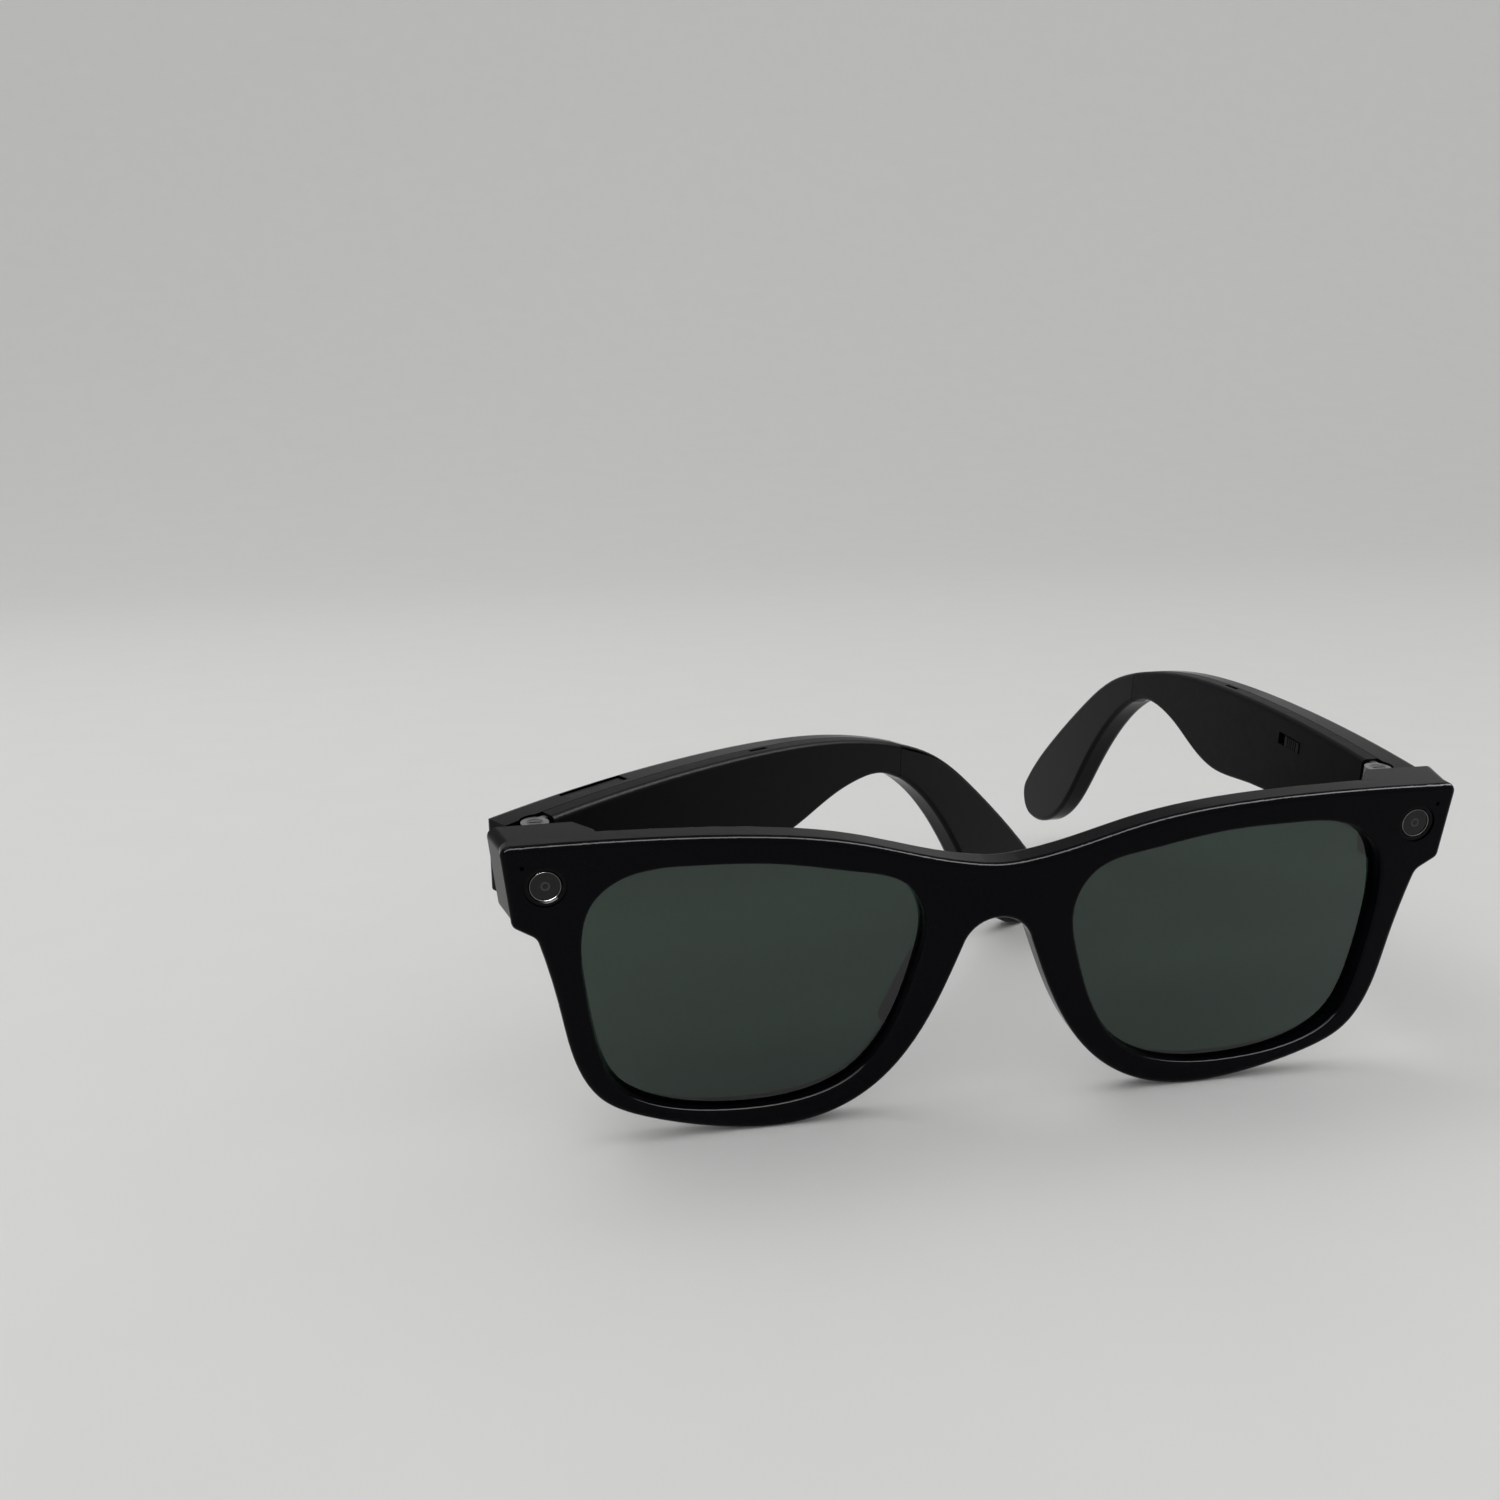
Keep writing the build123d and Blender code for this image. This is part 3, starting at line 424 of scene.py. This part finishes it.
def phosphor():
    """Pale yellow phosphor of a white light."""
    finish = Finish("phosphor", (0.72, 0.66, 0.36), 0.45)
    finish.tint(finish.noise(4200.0, 2.0), ((0.3, (0.62, 0.56, 0.26)), (0.8, (0.80, 0.74, 0.44))))
    finish.set("Coat Weight", 0.6)
    return finish.material


MAKERS = {
    "frame_plastic": polished_black,
    "cover_plastic": satin_black,
    "lens_glass": tinted_lens,
    "window_glass": dark_window,
    "light_glass": smoked_diffuser,
    "bezel": gloss_ring,
    "steel": lambda: brushed("brushed_steel", 0.17, 0.30, (1.0, 1.0, 9.0)),
    "screw_steel": lambda: brushed("dark_screw", 0.09, 0.3, (3.0, 3.0, 1.0)),
    "board": circuit_board,
    "black_part": moulded_black,
    "shield": lambda: brushed("tinned_can", 0.66, 0.36, (6.0, 1.0, 1.0)),
    "cell": foil_pouch,
    "flex": polyimide,
    "mesh": woven_mesh,
    "contact": gold,
    "button": button_black,
    "optic": clear_optic,
    "bright_ring": lambda: brushed("bright_ring", 0.16, 0.16, (1.0, 1.0, 4.0)),
    "grey_print": printed_grey,
    "phosphor": phosphor,
}
FINISHES = {}


def finish_for(slot):
    """The material of a slot, made once."""
    if slot not in FINISHES:
        FINISHES[slot] = MAKERS[slot]()
    return FINISHES[slot]


# ---------------------------------------------------------------- settings
class GlassesFinish(bpy.types.PropertyGroup):
    """Colours and gloss of the visible surfaces."""

    frame_colour: FloatVectorProperty(
        name="Frame colour", description="Polished plastic", subtype="COLOR", size=3,
        default=(0.0010, 0.0011, 0.0021), min=0.0, max=1.0,
    )
    frame_roughness: FloatProperty(
        name="Frame roughness", description="Polished plastic", default=0.09, min=0.0, max=1.0
    )
    frame_gloss: FloatProperty(
        name="Frame gloss", description="Strength of its reflections", default=0.055,
        min=0.0, max=1.0,
    )
    cover_colour: FloatVectorProperty(
        name="Cover colour", description="Satin plastic inside the temples", subtype="COLOR",
        size=3, default=(0.0012, 0.0012, 0.0017), min=0.0, max=1.0,
    )
    cover_roughness: FloatProperty(
        name="Cover roughness", description="Satin plastic", default=0.42, min=0.0, max=1.0
    )
    lens_colour: FloatVectorProperty(
        name="Lens tint", description="Tint of the lens's whole thickness", subtype="COLOR", size=3,
        default=(0.015, 0.033, 0.023), min=0.0, max=1.0,
    )
    lens_gloss: FloatProperty(
        name="Lens gloss", description="Strength of its reflections", default=0.11, min=0.0, max=1.0
    )


class GlassesDetails(bpy.types.PropertyGroup):
    """Sizes of the small visible details, in millimetres."""

    trim_radius: FloatProperty(
        name="Trim ring", description="Inner radius of the bright ring", default=2.04, min=0.5
    )
    trim_width: FloatProperty(
        name="Trim width", description="Width of the bright ring", default=0.12, min=0.02
    )
    index_radius: FloatProperty(
        name="Index ring", description="Inner radius of the grey ring", default=0.38, min=0.05
    )
    index_width: FloatProperty(
        name="Index width", description="Width of the grey ring", default=0.30, min=0.02
    )
    contact_radius: FloatProperty(
        name="Contact", description="Radius of a charging contact's dome", default=0.55, min=0.1
    )
    contact_rise: FloatProperty(
        name="Contact rise", description="Height of a charging contact's dome", default=0.16,
        min=0.0,
    )


class GlassesStage(bpy.types.PropertyGroup):
    """Camera, backdrop and lights."""

    camera_place: FloatVectorProperty(
        name="Camera", description="x, depth and height from the front's middle, millimetres",
        size=3, default=(-74.45, -185.5, 101.5),
    )
    camera_view: FloatVectorProperty(
        name="View", description="Direction of view in the front's own frame", size=3,
        default=(0.186, 0.926, -0.328),
    )
    camera_up: FloatVectorProperty(
        name="Camera up", description="Upward direction in the front's own frame", size=3,
        default=(0.057, 0.323, 0.945),
    )
    camera_lens: FloatProperty(
        name="Focal length", description="On a 36 mm sensor, millimetres", default=36.0, min=10.0
    )
    floor_colour: FloatVectorProperty(
        name="Floor", description="Backdrop colour", subtype="COLOR", size=3,
        default=(0.78, 0.78, 0.77), min=0.0, max=1.0,
    )
    sky: FloatProperty(
        name="Surrounding light", description="Even light from all sides", default=0.62, min=0.0
    )
    key_power: FloatProperty(
        name="Key light", description="Large softbox above, watts", default=2.6, min=0.0
    )
    strip_power: FloatProperty(
        name="Strip lights", description="Long lamps overhead that only show as glints, watts",
        default=130.0, min=0.0,
    )
    glow_power: FloatProperty(
        name="Back glow", description="Lamp behind that shades the upward faces, watts",
        default=1.2, min=0.0,
    )


# ---------------------------------------------------------------- the stage
# Each light has a place, a target and a size, in metres.
KEY_LIGHT = ((-0.45, 0.15, 0.95), (0, 0, 0), (0.8, 0.6))
STRIP_LIGHT = ((0.1, -0.40, 0.9), (0, -0.06, 0), (3.4, 0.35))
BACK_GLOW = ((0.3, 1.3, 0.72), (0, 0, 0), (3.0, 0.5))


def add_backdrop(colour):
    """A floor that curves up into a wall behind."""
    width, front, back, bend, height = 4.0, -2.0, 0.9, 1.6, 2.6
    profile = [(front, 0.0), (back, 0.0)]
    steps = 24
    for step in range(1, steps + 1):
        angle = math.pi / 2 * step / steps
        profile.append((back + bend * math.sin(angle), bend * (1 - math.cos(angle))))
    profile.append((back + bend, height))
    shape = bmesh.new()
    rows = [[shape.verts.new((x, y, z)) for x in (-width, width)] for y, z in profile]
    for near, far in zip(rows, rows[1:]):
        shape.faces.new((near[0], near[1], far[1], far[0]))
    for face in shape.faces:
        face.smooth = True
    mesh = bpy.data.meshes.new("backdrop")
    shape.to_mesh(mesh)
    shape.free()
    backdrop = bpy.data.objects.new("backdrop", mesh)
    bpy.context.scene.collection.objects.link(backdrop)
    paper = Finish("backdrop_paper", colour, 0.6)
    paper.set("Specular IOR Level", 0.25)
    low = tuple(part * 0.985 for part in colour)
    paper.tint(paper.noise(40.0, 3.0), ((0.3, low), (0.7, tuple(colour))))
    mesh.materials.append(paper.material)


def add_softbox(name, place, target, size, power, only_glints=False):
    """A rectangular light that faces a target."""
    lamp = bpy.data.lights.new(name, "AREA")
    lamp.shape = "RECTANGLE"
    lamp.size, lamp.size_y = size
    lamp.energy = power
    light = bpy.data.objects.new(name, lamp)
    light.location = place
    light.rotation_euler = (Vector(target) - Vector(place)).to_track_quat("-Z", "Y").to_euler()
    light.visible_camera = False
    light.visible_diffuse = not only_glints
    light.visible_transmission = not only_glints
    bpy.context.scene.collection.objects.link(light)


def add_camera(look):
    """The camera, placed in the front's own frame."""
    camera = bpy.data.objects.new("camera", bpy.data.cameras.new("camera"))
    bpy.context.scene.collection.objects.link(camera)
    camera.data.lens = look.camera_lens
    camera.data.sensor_width = 36.0
    camera.data.clip_start = 0.01
    turn = Matrix((ACROSS, BACK, UP)).transposed()
    view = (turn @ Vector(look.camera_view)).normalized()
    side = view.cross(turn @ Vector(look.camera_up)).normalized()
    above = side.cross(view)
    placing = Matrix((side, above, -view)).transposed().to_4x4()
    placing.translation = front_place(*look.camera_place)
    camera.matrix_world = placing
    bpy.context.scene.camera = camera


class GLASSES_OT_stage(bpy.types.Operator):
    """Makes the floor, the lights and the camera"""

    bl_idname = "glasses.stage"
    bl_label = "Stage"

    def execute(self, context):
        look = context.scene.glasses_stage
        add_backdrop(look.floor_colour)
        add_softbox("key", *KEY_LIGHT, look.key_power)
        add_softbox("strip", *STRIP_LIGHT, look.strip_power, only_glints=True)
        add_softbox("glow", *BACK_GLOW, look.glow_power, only_glints=True)
        world = bpy.data.worlds.new("soft_surroundings")
        world.use_nodes = True
        light = world.node_tree.nodes["Background"]
        light.inputs["Color"].default_value = (1.0, 1.0, 1.0, 1.0)
        light.inputs["Strength"].default_value = look.sky
        context.scene.world = world
        context.scene.view_settings.view_transform = "Standard"
        add_camera(look)
        return {"FINISHED"}


class GLASSES_OT_finishes(bpy.types.Operator):
    """Gives every CAD piece its finish"""

    bl_idname = "glasses.finishes"
    bl_label = "Finishes"

    def execute(self, context):
        for row in frame["record"]["subparts"]:
            piece = frame["nodes"][row["node"]]
            piece.data.materials.clear()
            piece.data.materials.append(finish_for(row["material_slot"]))
        return {"FINISHED"}


class GLASSES_PT_panel(bpy.types.Panel):
    """Lists the steps and the settings"""

    bl_idname = "GLASSES_PT_panel"
    bl_label = "Smart glasses"
    bl_space_type = "VIEW_3D"
    bl_region_type = "UI"
    bl_category = "Glasses"

    def draw(self, context):
        for step in STEPS:
            self.layout.operator(f"glasses.{step}")
        scene = context.scene
        for group in (scene.glasses_finish, scene.glasses_details, scene.glasses_stage):
            box = self.layout.box()
            for key in group.__annotations__:
                box.prop(group, key)


STEPS = ("stage", "finishes", "eyes", "front_details", "inner_parts")


# ---------------------------------------------------------------- camera and capture light
EYES = (("camera", LEFT), ("light", RIGHT))
# Depths behind the front face, in millimetres
WINDOW_DEPTH = 0.5
TRIM_DEPTH = 0.34
INDEX_DEPTH = 0.47
# The camera's front element
ELEMENT_RADIUS = 1.0
ELEMENT_RISE = 0.42
ELEMENT_DEPTH = 1.62
ELEMENT_BACK = 1.66
# The baffles step outwards and forwards one by one
BAFFLES = 5
BAFFLE_RADIUS, BAFFLE_STEP_OUT = 0.72, 0.08
BAFFLE_DEPTH, BAFFLE_STEP_FORWARD = 1.9, 0.13
BAFFLE_WALL, BAFFLE_LENGTH = 0.05, 0.06
# The capture light's phosphor
PHOSPHOR_DEPTH = 5.5
PHOSPHOR_SIZE = (0.9, 0.24, 0.9)


def ring_profile(inner, outer, front, back, round_off=0.03):
    """A ring's section with its front corners eased, as (radius, height) pairs."""
    return (
        (inner, -back),
        (inner, -front - round_off),
        (inner + round_off, -front),
        (outer - round_off, -front),
        (outer, -front - round_off),
        (outer, -back),
    )


class GLASSES_OT_eyes(bpy.types.Operator):
    """Makes the rings and the marks of the camera and the capture light, the camera's front glass and
    baffles, and the light's phosphor
    """

    bl_idname = "glasses.eyes"
    bl_label = "Camera and capture light"

    def execute(self, context):
        sizes = context.scene.glasses_details
        trim_rim = sizes.trim_radius + sizes.trim_width
        trim = ring_profile(sizes.trim_radius, trim_rim, TRIM_DEPTH, WINDOW_DEPTH)
        index_rim = sizes.index_radius + sizes.index_width
        index = ring_profile(sizes.index_radius, index_rim, INDEX_DEPTH, WINDOW_DEPTH, 0.01)
        for name, side in EYES:
            centre = front_place(side * EYE_X, 0, EYE_H)
            shape = bmesh.new()
            add_lathe(shape, trim, centre, -BACK)
            finish_mesh(f"{name}_trim_ring", shape, "front", "bezel", finish_for("bright_ring"))

            shape = bmesh.new()
            add_lathe(shape, index, centre, -BACK)
            finish_mesh(f"{name}_index_rings", shape, "front", "bezel", finish_for("grey_print"))

        centre = front_place(EYE_X, 0, EYE_H)
        dome = [
            (ELEMENT_RADIUS * math.sin(a), ELEMENT_RISE * math.cos(a) - ELEMENT_DEPTH)
            for a in arc(90, 0, 9)
        ]
        rear = [(AXIS_GAP, -ELEMENT_BACK), (0.94 * ELEMENT_RADIUS, -ELEMENT_BACK)]
        shape = bmesh.new()
        add_lathe(shape, dome + rear, centre, -BACK)
        finish_mesh("camera_front_element", shape, "front", "window_glass", finish_for("optic"))

        shape = bmesh.new()
        for step in range(BAFFLES):
            inner = BAFFLE_RADIUS + BAFFLE_STEP_OUT * step
            front = BAFFLE_DEPTH - BAFFLE_STEP_FORWARD * step
            outer, back = inner + BAFFLE_WALL, front + BAFFLE_LENGTH
            add_lathe(shape, ring_profile(inner, outer, front, back, 0.01), centre, -BACK)
        finish_mesh("camera_baffles", shape, "front", "black_part")

        shape = bmesh.new()
        axes = (ACROSS, BACK, UP)
        centre = front_place(-EYE_X, PHOSPHOR_DEPTH, EYE_H)
        add_block(shape, centre, axes, PHOSPHOR_SIZE, 0.08)
        finish_mesh("light_phosphor", shape, "front", "light_glass", finish_for("phosphor"))
        return {"FINISHED"}


# ---------------------------------------------------------------- front details
CONTACT_X = 3.3
CONTACT_H = 9.4
CONTACT_SUNK = 0.03
RIM_DEPTH = 4.3
CAN_DEPTH = 4.65
PORT = (0.32, 0.62, -0.12, 0.02)  # radii, and how far it stands behind and before the can


class GLASSES_OT_front_details(bpy.types.Operator):
    """Makes the domes of the charging contacts and the ports of the microphones"""

    bl_idname = "glasses.front_details"
    bl_label = "Front details"

    def execute(self, context):
        sizes = context.scene.glasses_details
        radius, rise = sizes.contact_radius, sizes.contact_rise
        dome = [(radius * math.sin(a), rise * math.cos(a)) for a in arc(90, 0, 8)]
        foot = [(AXIS_GAP, -0.05), (radius - 0.05, -0.05)]
        shape = bmesh.new()
        for side in (LEFT, RIGHT):
            centre = front_place(side * CONTACT_X, RIM_DEPTH - CONTACT_SUNK, CONTACT_H)
            add_lathe(shape, dome + foot, centre, BACK)
        finish_mesh("contact_domes", shape, "front", "contact")

        shape = bmesh.new()
        for side in (LEFT, RIGHT):
            centre = front_place(side * PINHOLE_X, CAN_DEPTH, PINHOLE_H)
            add_lathe(shape, ring_profile(*PORT), centre, BACK)
        finish_mesh("microphone_rims", shape, "front", "steel")
        return {"FINISHED"}


# ---------------------------------------------------------------- inside the temples
# Rows of chips: first s, first h, columns, lines, pitch s, pitch h, and size s, h, n
MAIN_CHIPS = (
    (24.5, 12.6, 1, 3, 0.0, 2.4, 2.4, 1.7, 0.5),
    (29.0, 17.6, 6, 1, 2.9, 0.0, 2.0, 2.2, 0.55),
    (29.5, 13.4, 3, 1, 5.6, 0.0, 4.4, 3.4, 0.65),
    (46.0, 12.8, 1, 7, 0.0, 0.95, 1.6, 0.5, 0.4),
)
POWER_CHIPS = (
    (17.0, 13.9, 3, 1, 3.1, 0.0, 2.2, 1.6, 0.5),
    (16.6, 15.9, 9, 1, 1.15, 0.0, 0.6, 1.0, 0.35),
)


# name, side, body, chips and the n of the board's inner face
BOARDS = (
    ("main", RIGHT, "temple_right", MAIN_CHIPS, 1.6),
    ("power", LEFT, "temple_left", POWER_CHIPS, 1.5),
)
LEAD_PITCH = 0.5
LEAD_SIZE = (0.22, 0.34, 0.14)
LEAD_LIFT = 0.08
BATTERY_H = 14.8
TAPE_S = (30.6, 48.9)
TAPE_N = 2.33
TAPE_SIZE = (0.8, 10.0, 3.53)
TAB_S, TAB_H, TAB_N = 29.4, (12.4, 17.2), 1.9
TAB_SIZE = (1.6, 2.0, 0.2)
SPEAKER_S, SPEAKER_H = 57.5, 14.9
SURROUND_N = 0.66
SURROUND_SIZE = (9.4, 4.2, 0.16)
# The diaphragm's ridges grow smaller and sink one by one
RIDGES = 4
RIDGE_N, RIDGE_SINK = 0.56, 0.05
RIDGE_LENGTH, RIDGE_SHRINK = 8.2, 1.5


def chip_places(rows):
    """Each chip's s, h and size in turn."""
    for first_s, first_h, columns, lines, pitch_s, pitch_h, *size in rows:
        for column in range(columns):
            for line in range(lines):
                yield first_s + column * pitch_s, first_h + line * pitch_h, size


def temple_directions(side):
    """The directions of s, h and n on a temple."""
    along, out = temple_axes(side)
    return along, UP, out


def add_chips(shape, side, rows, face_n):
    """Chips on the inner face of a board."""
    for s, h, size in chip_places(rows):
        middle = temple_place(side, s, h, face_n - size[2] / 2)
        add_block(shape, middle, temple_directions(side), size, 0.06)


def add_leads(shape, side, rows, face_n):
    """Solder feet along the two long edges of each chip."""
    for s, h, (long, tall, thick) in chip_places(rows):
        feet = max(2, int(long / LEAD_PITCH))
        for foot in range(feet):
            foot_s = s - long / 2 + (foot + 0.5) * long / feet
            for end in (-1, 1):
                spot = temple_place(side, foot_s, h + end * tall / 2, face_n - LEAD_LIFT)
                add_block(shape, spot, temple_directions(side), LEAD_SIZE, 0.03, 1)


class GLASSES_OT_inner_parts(bpy.types.Operator):
    """Makes the chips, leads, tape, tabs and diaphragms inside the temples"""

    bl_idname = "glasses.inner_parts"
    bl_label = "Inner parts"

    def execute(self, context):
        for name, side, body, rows, face_n in BOARDS:
            shape = bmesh.new()
            add_chips(shape, side, rows, face_n)
            finish_mesh(f"{name}_board_chips", shape, body, "black_part")
            shape = bmesh.new()
            add_leads(shape, side, rows, face_n)
            finish_mesh(f"{name}_board_leads", shape, body, "steel")

        axes = temple_directions(LEFT)
        shape = bmesh.new()
        for s in TAPE_S:
            add_block(shape, temple_place(LEFT, s, BATTERY_H, TAPE_N), axes, TAPE_SIZE, 0.12)
        finish_mesh("battery_tape", shape, "temple_left", "flex")
        shape = bmesh.new()
        for h in TAB_H:
            add_block(shape, temple_place(LEFT, TAB_S, h, TAB_N), axes, TAB_SIZE, 0.06)
        finish_mesh("battery_tabs", shape, "temple_left", "contact")

        for side, body in ((LEFT, "temple_left"), (RIGHT, "temple_right")):
            axes = temple_directions(side)
            name = body.split("_")[1]
            shape = bmesh.new()
            centre = temple_place(side, SPEAKER_S, SPEAKER_H, SURROUND_N)
            add_block(shape, centre, axes, SURROUND_SIZE, 0.07)
            for step in range(RIDGES):
                long = RIDGE_LENGTH - RIDGE_SHRINK * step
                ridge_n = RIDGE_N - RIDGE_SINK * step
                place = temple_place(side, SPEAKER_S, SPEAKER_H, ridge_n)
                add_block(shape, place, axes, (long, long * 0.42, 0.1), 0.045)
            finish_mesh(f"speaker_diaphragm_{name}", shape, body, "mesh")
        return {"FINISHED"}


CLASSES = (
    GlassesFinish,
    GlassesDetails,
    GlassesStage,
    GLASSES_OT_stage,
    GLASSES_OT_finishes,
    GLASSES_OT_eyes,
    GLASSES_OT_front_details,
    GLASSES_OT_inner_parts,
    GLASSES_PT_panel,
)


def register():
    for each in CLASSES:
        bpy.utils.register_class(each)
    bpy.types.Scene.glasses_finish = PointerProperty(type=GlassesFinish)
    bpy.types.Scene.glasses_details = PointerProperty(type=GlassesDetails)
    bpy.types.Scene.glasses_stage = PointerProperty(type=GlassesStage)


def unregister():
    del bpy.types.Scene.glasses_stage
    del bpy.types.Scene.glasses_details
    del bpy.types.Scene.glasses_finish
    for each in reversed(CLASSES):
        bpy.utils.unregister_class(each)


def main():
    register()
    for step in STEPS:
        getattr(bpy.ops.glasses, step)()


if __name__ == "__main__":
    main()
